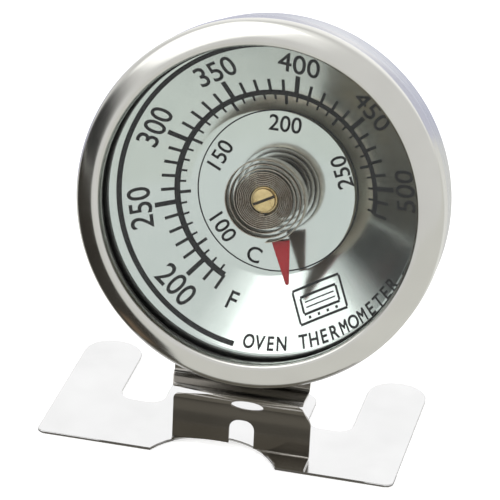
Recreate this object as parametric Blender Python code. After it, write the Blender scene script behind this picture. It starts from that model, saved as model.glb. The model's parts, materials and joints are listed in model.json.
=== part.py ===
"""Dial oven thermometer: a bimetal movement in a round steel case, on a strap that stands on a rack plate.

Frame: +Z up, the dial faces -Y, +X is to the right of someone reading it. The origin lies on the underside of
the rack plate, on the plate's centre line, halfway between its front edge and the tips of its arms.
Lengths below are millimetres and become metres when a mesh is made.
"""

import math

import bmesh
import bpy
from mathutils import Matrix, Vector
from mathutils.geometry import delaunay_2d_cdt

MM = 0.001

# Rack plate, seen from above. Its y values count from its front edge.
PLATE_WIDTH = 60.0
PLATE_DEPTH = 34.0
PLATE_THICKNESS = 0.45
ARM_WIDTH = 10.0
ARM_END_RADIUS = 4.6
PLATE_CORNER_RADIUS = 1.4
SLOT_BOTTOM = 14.8
SLOT_WIDTH = 7.6
SLOT_RADIUS = 2.6
TONGUE_END = 26.0
TONGUE_RADIUS = 3.0
ARCH_RADIUS = 11.4
ARCH_CENTRE = -4.4

# Neck strap: a foot on the plate, the neck, a shelf square to the case's back, and a back welded to the case.
STRAP_CENTRE = 3.75
STRAP_WIDTH = 23.1
STRAP_THICKNESS = 0.45
NECK_FRONT = 3.9
FOOT_BEND = 0.5
NECK_TOP = 10.15
SHELF_BEND = 1.5
BACK_BEND = 1.0
BACK_LEFT = -9.7
BACK_RIGHT = 13.3
BACK_LENGTH = 22.0
BACK_CORNER = 7.0
BEND_STEPS = 6
NECK_ARCH = 0.3
DOOR_CENTRE = 3.85
DOOR_WIDTH = 4.2
DOOR_TOP = 6.0
DOOR_RADIUS = 1.7
WINDOW_CENTRE = 4.6
WINDOW_WIDTH = 5.5
WINDOW_HEIGHT = 1.4
WINDOW_RISE = 0.25
NOTCH_LENGTH = 7.7
NOTCH_MOUTH = 1.35
NOTCH_SKEW = 0.5
NOTCH_TIP_RADIUS = 0.1
NOTCH_UPPER_RADIUS = 0.4
NOTCH_LOWER_RADIUS = 0.9
SHOULDER_DROP = 1.2
SHOULDER_RADIUS = 2.2
WAIST = 1.6
NICK_DEPTH = 1.0
NICK_HALF = 0.3
NICK_EDGE_RADIUS = 0.2
NICK_TIP_RADIUS = 0.05
DOOR_FOOT = 2.0

# Case: its axis leans back. Depths count inward from the plane of the bezel's widest circle.
CASE_LEAN = math.radians(14.5)
CASE_CENTRE = (3.9, 7.1, 43.5)
TURN = 48
BEZEL_RADIUS = 30.0
BEZEL_SHEET = 0.45
WINDOW_RADIUS = 25.7
BEZEL_CREST = -1.16
BEZEL_SKIRT = 4.4
LIP_END = 0.85
CUP_RADIUS = 29.5
CUP_SHEET = 0.4
CUP_RIM = 1.6
CUP_BACK = 13.2
CUP_CORNER = 1.5
SEAT_RADIUS = 28.9
GLASS_RADIUS = 28.6
GLASS_FRONT = 1.95
GLASS_BACK = 3.75
DIAL_RIM = 4.8
DIAL_LIP_RADIUS = 25.3
DISC_RADIUS = 13.6
DISC_DEPTH = 12.3
DIAL_SHEET = 0.4
PIVOT_HOLE = 2.3

# Movement, on the case's axis.
SMALL_TURN = 24
STUD_HEAD_RADIUS = 1.95
STUD_HEAD_FRONT = 5.3
STUD_HEAD_BACK = 6.0
STUD_SHAFT = 1.3
STUD_SHOULDER = 1.9
SHOULDER_FRONT = 8.5
SHOULDER_BACK = 11.5
STUD_END = 15.7
SLOT_CUT_WIDTH = 0.6
SLOT_CUT_DEPTH = 0.45
SLOT_CUT_ANGLE = math.radians(-28)
RUNNING_BORE = 1.36
COLLAR_RADIUS = 2.15
BUSH_RADIUS = 2.2
BUSH_FLANGE = 3.4
BUSH_REAR_FLANGE = 3.1
BUSH_REAR_SHEET = 0.5
WASHER_RADIUS = 2.8
WASHER_SHEET = 0.3
NUT_THICKNESS = 1.3
COIL_INNER = 2.35
COIL_TIGHT_OUTER = 4.7
COIL_OUTER = 6.93
COIL_TIGHT_TURNS = 8
COIL_OPEN_TURNS = 3
COIL_STEPS = 16
COIL_STRIP = 0.15
COIL_FRONT = 5.6
COIL_BACK = 8.2
COIL_END_ANGLE = math.radians(172)
POINTER_ROOT = (3.3, -6.45)
POINTER_TIP = (5.1, -13.5)
POINTER_WIDTH = 3.0
POINTER_TIP_WIDTH = 0.25
POINTER_SHEET = 0.3
POINTER_DEPTH = 6.5
TAB_WIDTH = 2.4
NUT_FLATS = 5.0
GAP = 0.05


def material(name, colour, metallic, roughness, transmission=0.0):
    """A Principled material."""
    made = bpy.data.materials.new(name)
    made.use_nodes = True
    shader = made.node_tree.nodes["Principled BSDF"]
    shader.inputs["Base Color"].default_value = (*colour, 1.0)
    shader.inputs["Metallic"].default_value = metallic
    shader.inputs["Roughness"].default_value = roughness
    shader.inputs["Transmission Weight"].default_value = transmission
    made.diffuse_color = (*colour, 1.0)
    return made


def add_object(name, mesh, look, parent=None):
    """Puts a mesh into the scene as one object, smooth where its faces turn gently."""
    bm = bmesh.new()
    bm.from_mesh(mesh)
    bmesh.ops.remove_doubles(bm, verts=bm.verts, dist=1e-7)
    bmesh.ops.recalc_face_normals(bm, faces=bm.faces)
    bm.to_mesh(mesh)
    bm.free()
    mesh.shade_smooth()
    mesh.set_sharp_from_angle(angle=math.radians(35))
    mesh.materials.append(look)
    made = bpy.data.objects.new(name, mesh)
    bpy.context.scene.collection.objects.link(made)
    made.parent = parent
    return made


def mesh_of(name, points, faces):
    """A mesh from points in millimetres."""
    mesh = bpy.data.meshes.new(name)
    mesh.from_pydata([Vector(p) * MM for p in points], [], faces)
    return mesh


def arc(centre, radius, start, end, steps):
    """Points of an arc, both ends included. Angles run anticlockwise from +X."""
    angles = [start + (end - start) * i / steps for i in range(steps + 1)]
    return [(centre[0] + radius * math.cos(a), centre[1] + radius * math.sin(a)) for a in angles]


def rounded(corners, steps=5):
    """Outline of a polygon whose corners (x, y, radius) are filleted."""
    outline = []
    for i, (x, y, radius) in enumerate(corners):
        corner = Vector((x, y))
        before = (Vector(corners[i - 1][:2]) - corner).normalized()
        after = (Vector(corners[(i + 1) % len(corners)][:2]) - corner).normalized()
        if radius == 0:
            outline.append((x, y))
            continue
        half = before.angle(after) / 2
        centre = corner + (before + after).normalized() * radius / math.sin(half)
        first = corner + before * radius / math.tan(half) - centre
        last = corner + after * radius / math.tan(half) - centre
        sweep = first.angle_signed(last)
        for k in range(steps + 1):
            outline.append(tuple(centre + Matrix.Rotation(-sweep * k / steps, 2) @ first))
    return outline


def inside(point, loop):
    """Whether a point lies inside a closed outline."""
    x, y = point
    found = False
    for (x0, y0), (x1, y1) in zip(loop, loop[1:] + loop[:1]):
        if (y0 > y) != (y1 > y) and x < x0 + (y - y0) * (x1 - x0) / (y1 - y0):
            found = not found
    return found


def sheet(name, outline, cuts, creases, place, look):
    """A piece of sheet metal: a flat blank, less its cuts, split along its creases and bent.

    place(x, s, side) gives the bent position of blank point (x, s) on its front (0) or back (1) face.
    """
    points = []
    edges = []
    for loop in [outline, *cuts]:
        first = len(points)
        points += loop
        edges += [(first + i, first + (i + 1) % len(loop)) for i in range(len(loop))]
    reach = max(abs(x) for x, _ in outline) + 1
    for s in creases:
        edges.append((len(points), len(points) + 1))
        points += [(-reach, s), (reach, s)]
    flat, _, triangles, *_ = delaunay_2d_cdt([Vector(p) for p in points], edges, [], 0, 1e-5)
    kept = []
    for corner_ids in triangles:
        middle = sum((flat[i] for i in corner_ids), Vector((0, 0))) / len(corner_ids)
        if inside(middle, outline) and not any(inside(middle, cut) for cut in cuts):
            kept.append(list(corner_ids))
    count = len(flat)
    solid_points = [place(*p, 0) for p in flat] + [place(*p, 1) for p in flat]
    faces = kept + [[i + count for i in reversed(t)] for t in kept]
    used = {}
    for t in kept:
        for a, b in zip(t, t[1:] + t[:1]):
            used[(a, b)] = True
    faces += [[b, a, a + count, b + count] for a, b in used if (b, a) not in used]
    mesh = mesh_of(name, solid_points, faces)
    bm = bmesh.new()
    bm.from_mesh(mesh)
    bmesh.ops.delete(bm, geom=[v for v in bm.verts if not v.link_faces], context="VERTS")
    bm.to_mesh(mesh)
    bm.free()
    return add_object(name, mesh, look)


def turned(name, loop, look, parent, steps=TURN):
    """A turned piece from a closed profile of (radius, depth), round the parent's Z axis."""
    points = []
    faces = []
    for k in range(steps):
        angle = math.tau * k / steps
        points += [(r * math.sin(angle), -r * math.cos(angle), d) for r, d in loop]
    count = len(loop)
    for k in range(steps):
        here = k * count
        there = (k + 1) % steps * count
        for i in range(count):
            j = (i + 1) % count
            faces.append([here + i, here + j, there + j, there + i])
    return add_object(name, mesh_of(name, points, faces), look, parent)


def band(profile, thickness):
    """Closed profile of a sheet that follows an open line, with its thickness on the line's right."""
    shifted = []
    for i, point in enumerate(profile):
        before = Vector(profile[max(i - 1, 0)])
        after = Vector(profile[min(i + 1, len(profile) - 1)])
        along = (after - before).normalized()
        shifted.append((point[0] + along.y * thickness, point[1] - along.x * thickness))
    return list(profile) + shifted[::-1]


def plate_cuts():
    """The arch in the plate's front edge, as a full circle."""
    return arc((0, ARCH_CENTRE), ARCH_RADIUS, 0, math.tau, 44)[:-1]


def add_rack_plate(look):
    """The flat plate, with two arms and the slots between arms and tongue that go over rack wires."""
    half = PLATE_WIDTH / 2
    slot_out = half - ARM_WIDTH
    slot_in = slot_out - SLOT_WIDTH
    right = [
        (half, 0, PLATE_CORNER_RADIUS),
        (half, PLATE_DEPTH, ARM_END_RADIUS),
        (slot_out, PLATE_DEPTH, ARM_END_RADIUS),
        (slot_out, SLOT_BOTTOM, SLOT_RADIUS),
        (slot_in, SLOT_BOTTOM, SLOT_RADIUS),
        (slot_in, TONGUE_END, TONGUE_RADIUS),
    ]
    left = [(-x, y, r) for x, y, r in reversed(right)]

    def place(x, s, side):
        return (x, s - PLATE_DEPTH / 2, PLATE_THICKNESS * (1 - side))

    return sheet("rack_plate", rounded(right + left), [plate_cuts()], [], place, look)


def inward(depth, height):
    """(y, z) of a point at a depth along the case's axis and a height along the case's own upright."""
    y = CASE_CENTRE[1] + depth * math.cos(CASE_LEAN) + height * math.sin(CASE_LEAN)
    z = CASE_CENTRE[2] - depth * math.sin(CASE_LEAN) + height * math.cos(CASE_LEAN)
    return Vector((y, z))


def strap_path():
    """The strap's stretches, as (length, turn angle) along the middle of its sheet, from the foot's edge."""
    half = STRAP_THICKNESS / 2
    foot_level = PLATE_THICKNESS + GAP + half
    shelf_turn = math.pi / 2 + CASE_LEAN
    shelf = Vector((math.cos(CASE_LEAN), -math.sin(CASE_LEAN)))
    up = Vector((math.sin(CASE_LEAN), math.cos(CASE_LEAN)))
    bend_centre = Vector((NECK_FRONT + half + SHELF_BEND, NECK_TOP - half - SHELF_BEND))
    shelf_start = bend_centre + up * SHELF_BEND
    back_point = inward(CUP_BACK + GAP + half, 0)
    shelf_length = (back_point - shelf_start).dot(shelf)
    return [
        (NECK_FRONT + half - FOOT_BEND, 0),
        (FOOT_BEND * math.pi / 2, math.pi / 2),
        (bend_centre.y - foot_level - FOOT_BEND, 0),
        (SHELF_BEND * shelf_turn, -shelf_turn),
        (shelf_length - BACK_BEND, 0),
        (BACK_BEND * math.pi / 2, math.pi / 2),
        (BACK_LENGTH, 0),
    ]


def strap_creases(path):
    """Blank positions of the lines at which the strap starts, goes on and stops bending."""
    creases = []
    s = 0
    for length, turn in path:
        if turn:
            creases += [s + length * k / BEND_STEPS for k in range(BEND_STEPS + 1)]
        s += length
    return creases


def strap_place(path):
    """The function that bends the blank along the path."""

    def place(x, s, side):
        point = Vector((0, PLATE_THICKNESS + GAP + STRAP_THICKNESS / 2))
        heading = 0.0
        left = s
        for length, turn in path:
            step = min(left, length)
            part = turn * step / length
            if turn:
                radius = length / turn
                chord = 2 * radius * math.sin(part / 2)
                aim = heading + part / 2
                point = point + chord * Vector((math.cos(aim), math.sin(aim)))
            else:
                point = point + step * Vector((math.cos(heading), math.sin(heading)))
            heading += part
            left -= step
            if left <= 0:
                break
        normal = Vector((-math.sin(heading), math.cos(heading)))
        point = point + normal * STRAP_THICKNESS * (0.5 - side)
        return (x, point.x - PLATE_DEPTH / 2, point.y)

    return place


def strap_arch(flat):
    """The plate's arch, flattened where the blank turns up into the neck."""
    return [(x, s if s < flat else flat + (s - flat) * NECK_ARCH) for x, s in plate_cuts()]


def add_neck_strap(look):
    """The bent strap. Its blank's s runs from the foot's front edge, up the neck and along the shelf."""
    path = strap_path()
    lengths = [length for length, _ in path]
    bend = sum(lengths[:3])
    fold = bend + lengths[3] / 2
    rear = bend + lengths[3] + lengths[4]
    total = sum(lengths)
    upright = bend - (NECK_TOP - STRAP_THICKNESS / 2 - SHELF_BEND)
    left = STRAP_CENTRE - STRAP_WIDTH / 2
    right = STRAP_CENTRE + STRAP_WIDTH / 2
    waist = right - WAIST
    mouth = NOTCH_MOUTH / 2
    outline = rounded(
        [
            (left, 0, 0),
            (right, 0, 0),
            (right, bend - SHOULDER_DROP, SHOULDER_RADIUS),
            (waist, fold - NICK_HALF, NICK_EDGE_RADIUS),
            (waist - NICK_DEPTH, fold, NICK_TIP_RADIUS),
            (waist, fold + NICK_HALF, NICK_EDGE_RADIUS),
            (BACK_RIGHT, rear, 0),
            (BACK_RIGHT, total, BACK_CORNER),
            (BACK_LEFT, total, BACK_CORNER),
            (BACK_LEFT, rear, 0),
            (left - NOTCH_SKEW, fold + mouth, NOTCH_UPPER_RADIUS),
            (left + NOTCH_LENGTH, fold, NOTCH_TIP_RADIUS),
            (left, fold - mouth, NOTCH_LOWER_RADIUS),
        ]
    )
    door_half = DOOR_WIDTH / 2
    door = rounded(
        [
            (DOOR_CENTRE - door_half, DOOR_FOOT, 0),
            (DOOR_CENTRE + door_half, DOOR_FOOT, 0),
            (DOOR_CENTRE + door_half, upright + DOOR_TOP, DOOR_RADIUS),
            (DOOR_CENTRE - door_half, upright + DOOR_TOP, DOOR_RADIUS),
        ]
    )
    oval = arc((0, 0), 1, 0, math.tau, 16)[:-1]
    middle = bend + WINDOW_RISE
    window = [(WINDOW_CENTRE + x * WINDOW_WIDTH / 2, middle + y * WINDOW_HEIGHT / 2) for x, y in oval]
    cuts = [strap_arch(lengths[0]), door, window]
    return sheet("neck_strap", outline, cuts, strap_creases(path), strap_place(path), look)


def add_case_axis():
    """Empty on the case's axis: its Z runs into the case, its X to the right and its Y down the dial."""
    axis = bpy.data.objects.new("case_axis", None)
    bpy.context.scene.collection.objects.link(axis)
    x, y, z = CASE_CENTRE
    axis.location = (x * MM, (y - PLATE_DEPTH / 2) * MM, z * MM)
    axis.rotation_euler = (-math.pi / 2 - CASE_LEAN, 0, 0)
    return axis


def add_bezel(look, axis):
    """The rolled front ring: a skirt round the cup and a lip that holds the glass."""
    outer = [(BEZEL_RADIUS, BEZEL_SKIRT), (BEZEL_RADIUS, 1.5)]
    outer += [(BEZEL_RADIUS - 0.2, 0.55), (BEZEL_RADIUS - 1.0, -0.22)]
    outer += [(BEZEL_RADIUS - 2.3, -0.85), (WINDOW_RADIUS + 0.95, BEZEL_CREST)]
    outer += [(WINDOW_RADIUS + 0.25, -0.9), (WINDOW_RADIUS, -0.1), (WINDOW_RADIUS, LIP_END)]
    return turned("bezel_ring", band(outer, BEZEL_SHEET), look, axis)


def add_cup(look, axis):
    """The drawn cup behind the bezel, with the stud's hole in its back."""
    corner = arc((CUP_RADIUS - CUP_CORNER, CUP_BACK - CUP_CORNER), CUP_CORNER, 0, math.pi / 2, 4)
    profile = [(CUP_RADIUS, CUP_RIM), *corner, (PIVOT_HOLE, CUP_BACK)]
    return turned("case_cup", band(profile[::-1], CUP_SHEET), look, axis)


def add_glass(look, axis):
    """The flat window, with a small chamfer round both faces."""
    chamfer = 0.25
    front = GLASS_FRONT
    back = GLASS_BACK
    rings = [
        (GLASS_RADIUS - chamfer, front),
        (GLASS_RADIUS, front + chamfer),
        (GLASS_RADIUS, back - chamfer),
        (GLASS_RADIUS - chamfer, back),
    ]
    points = [(0, 0, front), (0, 0, back)]
    for k in range(TURN):
        angle = math.tau * k / TURN
        points += [(r * math.sin(angle), -r * math.cos(angle), d) for r, d in rings]
    faces = []
    for k in range(TURN):
        here = 2 + k * 4
        there = 2 + (k + 1) % TURN * 4
        faces.append([0, here, there])
        faces.append([1, there + 3, here + 3])
        faces += [[here + i, here + i + 1, there + i + 1, there + i] for i in range(3)]
    return add_object("glass_window", mesh_of("glass_window", points, faces), look, axis)


def add_dial(look, axis):
    """The dished dial: a flat rim, a cone that carries the scale and a flat centre disc on the cup's back."""
    profile = [(SEAT_RADIUS, DIAL_RIM), (DIAL_LIP_RADIUS, DIAL_RIM)]
    profile += [(DISC_RADIUS + 0.3, DISC_DEPTH - 0.15), (DISC_RADIUS - 0.4, DISC_DEPTH)]
    profile += [(PIVOT_HOLE, DISC_DEPTH)]
    return turned("dial_plate", band(profile, DIAL_SHEET), look, axis)


def ring(name, inner, outer, front, back, look, axis, steps=TURN):
    """A plain ring of rectangular section."""
    loop = [(inner, front), (outer, front), (outer, back), (inner, back)]
    return turned(name, loop, look, axis, steps)


def add_bush(look, axis):
    """The eyelet that joins dial and cup and carries the stud: a flange on the dial and one behind the cup."""
    front = SHOULDER_BACK + GAP
    dial_face = DISC_DEPTH - GAP
    rear_face = CUP_BACK + GAP
    loop = [(RUNNING_BORE, front), (BUSH_FLANGE, front), (BUSH_FLANGE, dial_face), (BUSH_RADIUS, dial_face)]
    loop += [(BUSH_RADIUS, rear_face), (BUSH_REAR_FLANGE, rear_face)]
    rear_end = rear_face + BUSH_REAR_SHEET
    loop += [(BUSH_REAR_FLANGE, rear_end), (RUNNING_BORE, rear_end)]
    return turned("stud_bush", loop, look, axis, SMALL_TURN)


def add_stud(look, axis):
    """The slotted calibration stud that holds the coil's inner end and turns in the bush."""
    profile = [
        (STUD_HEAD_RADIUS - 0.15, STUD_HEAD_FRONT),
        (STUD_HEAD_RADIUS, STUD_HEAD_FRONT + 0.15),
        (STUD_HEAD_RADIUS, STUD_HEAD_BACK),
        (STUD_SHAFT, STUD_HEAD_BACK),
        (STUD_SHAFT, SHOULDER_FRONT),
        (STUD_SHOULDER, SHOULDER_FRONT),
        (STUD_SHOULDER, SHOULDER_BACK),
        (STUD_SHAFT, SHOULDER_BACK),
        (STUD_SHAFT, STUD_END),
    ]
    bm = bmesh.new()
    vertices = [bm.verts.new((0, 0, STUD_HEAD_FRONT * MM))]
    vertices += [bm.verts.new((r * MM, 0, d * MM)) for r, d in profile]
    vertices.append(bm.verts.new((0, 0, STUD_END * MM)))
    edges = [bm.edges.new(pair) for pair in zip(vertices, vertices[1:])]
    bmesh.ops.spin(
        bm,
        geom=vertices + edges,
        cent=(0, 0, 0),
        axis=(0, 0, 1),
        angle=math.tau,
        steps=SMALL_TURN,
        use_merge=True,
    )
    mesh = bpy.data.meshes.new("calibration_stud")
    bm.to_mesh(mesh)
    bm.free()
    stud = add_object("calibration_stud", mesh, look, axis)
    reach = STUD_HEAD_RADIUS + 1
    half = SLOT_CUT_WIDTH / 2
    front = STUD_HEAD_FRONT - 1
    back = STUD_HEAD_FRONT + SLOT_CUT_DEPTH
    corners = [(x, y, z) for x in (-reach, reach) for y in (-half, half) for z in (front, back)]
    sides = [(0, 1, 3, 2), (4, 6, 7, 5), (0, 4, 5, 1), (2, 3, 7, 6), (0, 2, 6, 4), (1, 5, 7, 3)]
    cutter = add_object("slot_cutter", mesh_of("slot_cutter", corners, sides), look, axis)
    cutter.rotation_euler = (0, 0, SLOT_CUT_ANGLE)
    cutter.hide_render = True
    cutter.display_type = "WIRE"
    cut = stud.modifiers.new("slot", "BOOLEAN")
    cut.operation = "DIFFERENCE"
    cut.object = cutter
    return stud


def coil_radius(turns):
    """Radius of the coil after a number of turns from its inner end: closely wound, then open."""
    if turns < COIL_TIGHT_TURNS:
        return COIL_INNER + (COIL_TIGHT_OUTER - COIL_INNER) * turns / COIL_TIGHT_TURNS
    share = (turns - COIL_TIGHT_TURNS) / COIL_OPEN_TURNS
    return COIL_TIGHT_OUTER + (COIL_OUTER - COIL_TIGHT_OUTER) * share


def add_coil(look, axis):
    """The bimetal strip wound flat from the collar out to the pointer's tab."""
    points = []
    faces = []
    steps = (COIL_TIGHT_TURNS + COIL_OPEN_TURNS) * COIL_STEPS
    for k in range(steps + 1):
        radius = coil_radius(k / COIL_STEPS)
        angle = COIL_END_ANGLE - math.tau * (steps - k) / COIL_STEPS
        for r in (radius - COIL_STRIP / 2, radius + COIL_STRIP / 2):
            for depth in (COIL_FRONT, COIL_BACK):
                points.append((r * math.sin(angle), -r * math.cos(angle), depth))
    for k in range(steps):
        a = 4 * k
        b = a + 4
        faces += [[a, b, b + 1, a + 1], [a + 2, a + 3, b + 3, b + 2]]
        faces += [[a, a + 2, b + 2, b], [a + 1, b + 1, b + 3, a + 3]]
    faces += [[0, 1, 3, 2], [4 * steps, 4 * steps + 2, 4 * steps + 3, 4 * steps + 1]]
    return add_object("bimetal_coil", mesh_of("bimetal_coil", points, faces), look, axis)


def add_pointer(look, axis):
    """The tapered pointer, with a tab turned back along the outside of the coil's end."""
    root = Vector(POINTER_ROOT)
    tip = Vector(POINTER_TIP)
    along = (tip - root).normalized()
    across = Vector((-along.y, along.x))
    front = POINTER_DEPTH
    back = POINTER_DEPTH + POINTER_SHEET
    blade = [
        root - across * POINTER_WIDTH / 2,
        tip - along * 0.3 - across * POINTER_TIP_WIDTH / 2,
        tip,
        tip - along * 0.3 + across * POINTER_TIP_WIDTH / 2,
        root + across * POINTER_WIDTH / 2,
        root + across * TAB_WIDTH / 2,
        root - across * TAB_WIDTH / 2,
    ]
    fold = [
        root + along * POINTER_SHEET + across * TAB_WIDTH / 2,
        root + along * POINTER_SHEET - across * TAB_WIDTH / 2,
    ]
    points = [(p.x, -p.y, d) for d in (front, back) for p in blade + fold]
    low = COIL_BACK
    points += [(p.x, -p.y, low) for p in (blade[5], blade[6], *fold)]
    count = len(blade) + len(fold)
    top = [[0, 1, 2, 3, 4, 5, 7, 8, 6], [5, 6, 8, 7]]
    faces = top + [[i + count for i in reversed(top[0])]]
    for i, j in ((0, 1), (1, 2), (2, 3), (3, 4), (4, 5), (5, 6), (6, 0)):
        faces.append([i, i + count, j + count, j])
    tab = [count + 5, count + 6, count + 8, count + 7]
    bottom = [2 * count, 2 * count + 1, 2 * count + 3, 2 * count + 2]
    for i in range(4):
        j = (i + 1) % 4
        faces.append([tab[i], tab[j], bottom[j], bottom[i]])
    faces.append(bottom)
    return add_object("pointer", mesh_of("pointer", points, faces), look, axis)


def add_nut(look, axis):
    """The hexagonal nut, fast on the stud's rear end, that a spanner turns to set the reading."""
    front = CUP_BACK + BUSH_REAR_SHEET + WASHER_SHEET + 4 * GAP
    back = front + NUT_THICKNESS
    sides = 24
    hexagon = [
        NUT_FLATS / 2 / math.cos((k * math.tau / sides + math.pi / 6) % (math.pi / 3) - math.pi / 6)
        for k in range(sides)
    ]
    points = []
    for k in range(sides):
        angle = math.tau * k / sides
        for r, d in ((RUNNING_BORE, front), (hexagon[k], front), (hexagon[k], back), (RUNNING_BORE, back)):
            points.append((r * math.sin(angle), -r * math.cos(angle), d))
    faces = []
    for k in range(sides):
        here = 4 * k
        there = (k + 1) % sides * 4
        for i in range(4):
            j = (i + 1) % 4
            faces.append([here + i, here + j, there + j, there + i])
    return add_object("stud_nut", mesh_of("stud_nut", points, faces), look, axis)


def build():
    """Clears the scene and makes every piece."""
    for old in list(bpy.data.objects):
        bpy.data.objects.remove(old)
    polished = material("polished_steel", (0.62, 0.62, 0.59), 1.0, 0.18)
    satin = material("satin_steel", (0.60, 0.60, 0.59), 1.0, 0.3)
    pressed = material("pressed_steel", (0.62, 0.62, 0.61), 1.0, 0.22)
    clear = material("clear_glass", (0.95, 0.97, 0.96), 0.0, 0.02, 1.0)
    fibre = material("gasket_fibre", (0.05, 0.05, 0.05), 0.0, 0.8)
    ring_metal = material("black_ring", (0.05, 0.05, 0.048), 0.5, 0.45)
    dial_face = material("dial_face", (0.62, 0.66, 0.63), 0.9, 0.3)
    brass = material("brass", (0.62, 0.45, 0.22), 1.0, 0.3)
    bimetal = material("bimetal_strip", (0.38, 0.34, 0.31), 1.0, 0.35)
    red = material("pointer_red", (0.52, 0.04, 0.04), 0.0, 0.45)
    spring = material("spring_steel", (0.45, 0.45, 0.46), 1.0, 0.3)

    add_rack_plate(pressed)
    add_neck_strap(pressed)
    axis = add_case_axis()
    add_bezel(polished, axis)
    add_cup(satin, axis)
    gasket_inner = WINDOW_RADIUS + 3 * GAP
    ring("glass_gasket", gasket_inner, GLASS_RADIUS, LIP_END + GAP, GLASS_FRONT - GAP, fibre, axis)
    add_glass(clear, axis)
    ring("spacer_ring", DIAL_LIP_RADIUS + 3 * GAP, SEAT_RADIUS, GLASS_BACK + GAP, DIAL_RIM - GAP, ring_metal, axis)
    add_dial(dial_face, axis)
    add_bush(brass, axis)
    add_stud(brass, axis)
    collar_front = STUD_HEAD_BACK + GAP
    collar_back = SHOULDER_FRONT - GAP
    ring("coil_collar", STUD_SHAFT + GAP, COLLAR_RADIUS, collar_front, collar_back, brass, axis, SMALL_TURN)
    add_coil(bimetal, axis)
    add_pointer(red, axis)
    washer_front = CUP_BACK + BUSH_REAR_SHEET + 2 * GAP
    washer_back = washer_front + WASHER_SHEET
    ring("friction_washer", STUD_SHAFT + 2 * GAP, WASHER_RADIUS, washer_front, washer_back, spring, axis, SMALL_TURN)
    add_nut(spring, axis)


build()
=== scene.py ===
"""Looks of the dial oven thermometer: finer pieces on the CAD frame, their materials, and a plain studio.

Lengths are millimetres in the case's own frame (x to the right, y down the dial, z into the case, zero at the
centre of the bezel's widest circle), and become metres when a mesh is made. Dial angles run clockwise.
"""

import json
import math

import bmesh
import bpy
from mathutils import Matrix, Vector


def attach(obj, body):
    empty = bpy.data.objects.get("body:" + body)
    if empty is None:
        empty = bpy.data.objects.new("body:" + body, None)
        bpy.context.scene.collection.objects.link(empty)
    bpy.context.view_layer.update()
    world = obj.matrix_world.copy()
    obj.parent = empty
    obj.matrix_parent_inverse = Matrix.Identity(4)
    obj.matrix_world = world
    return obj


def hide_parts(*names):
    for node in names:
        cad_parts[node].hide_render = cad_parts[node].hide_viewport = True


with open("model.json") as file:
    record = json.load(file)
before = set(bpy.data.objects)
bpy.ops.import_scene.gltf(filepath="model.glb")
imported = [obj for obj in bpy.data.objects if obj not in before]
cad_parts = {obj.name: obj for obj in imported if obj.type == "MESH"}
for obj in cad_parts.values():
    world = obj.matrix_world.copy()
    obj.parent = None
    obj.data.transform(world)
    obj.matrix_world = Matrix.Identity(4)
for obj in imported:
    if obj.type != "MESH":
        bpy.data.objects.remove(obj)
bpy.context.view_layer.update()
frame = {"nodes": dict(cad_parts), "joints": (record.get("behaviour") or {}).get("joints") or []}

MM = 0.001
FINE_TURN = 192
SMALL_TURN = 64

BEZEL_RADIUS = 30.0
BEZEL_SHEET = 0.45
BEZEL_SKIRT = 4.4
BEZEL_CREST = -1.16
WINDOW_RADIUS = 25.7
LIP_END = 0.85
CUP_RADIUS = 29.5
CUP_SHEET = 0.4
CUP_RIM = 0.9
CUP_WALL_RING = 6.0
CUP_BACK = 13.2
CUP_CORNER = 1.5
PIVOT_HOLE = 2.3
GLASS_RADIUS = 28.6
GLASS_FRONT = 1.95
GLASS_BACK = 3.75
GLASS_CHAMFER = 0.25
SPACER_CHAMFER = 0.12
SEAT_RADIUS = 28.9
DIAL_RIM = 4.8
DIAL_LIP_RADIUS = 25.3
DISC_RADIUS = 13.6
DISC_DEPTH = 12.3
DIAL_SHEET = 0.4
GAP = 0.05

PRINT_CENTRE = (0.9, -0.5)
PRINT_TURN = math.radians(-30.2)
INK = 0.05
INK_SPAN = 0.8
DEGREES_PER_F = 0.73
TOP_F = 350
TICK_RADIUS = 16.5
RING_LINE = 0.85
LOW_F, HIGH_F, STEP_F, MAJOR_F = 180, 520, 10, 50
LOW_C, HIGH_C, STEP_C, MAJOR_C = 85, 270, 5, 25
LONG_TICK_F, SHORT_TICK_F = 3.4, 2.35
LONG_TICK_C, SHORT_TICK_C = 2.0, 1.25
BROAD_TICK_F, FINE_TICK_F = 0.78, 0.5
BROAD_TICK_C, FINE_TICK_C = 0.5, 0.34
OUTER_ARC_RADIUS = 24.9
OUTER_ARC_LINE = 0.75
OUTER_ARC_REACH = math.radians(142)
DISC_LINE_RADIUS = 13.3
DISC_LINE = 0.22
PRINT_LIFT = 0.005

NUMBER_GAP = 50
FIRST_F, LAST_F = 200, 500
FIRST_C, LAST_C = 100, 250
NUMBER_HEIGHT_F, NUMBER_RADIUS_F = 3.3, 22.0
NUMBER_HEIGHT_C, NUMBER_RADIUS_C = 2.6, 11.1
UNIT_HEIGHT = 2.6
UNIT_F = (19.1, math.radians(-134.5))
UNIT_C = (11.4, math.radians(-135.5))
TITLE = "OVEN THERMOMETER"
TITLE_HEIGHT = 2.0
TITLE_RADIUS = 24.0
TITLE_PITCH = math.radians(4.35)
TITLE_BOLDNESS = 0.045
LETTER_STRETCH = 0.84
NARROW_STRETCH = 0.68
LETTER_STEPS = 5

PICTOGRAM_CENTRE = (0, -18.6)
PICTOGRAM_STROKE = 0.36
PICTOGRAM_BOX = (4.2, 2.6)
PICTOGRAM_WINDOW = (3.2, 1.3)
SHELF_LEVEL = 0.4
SHELF_HALF_LENGTH = 2.6
SHELF_HALF_LINE = 0.09
KNOB_PLACES = (-2.4, -0.8, 0.8, 2.4)
KNOB_HALF = 0.2
KNOB_LEVEL = 1.95

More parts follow.
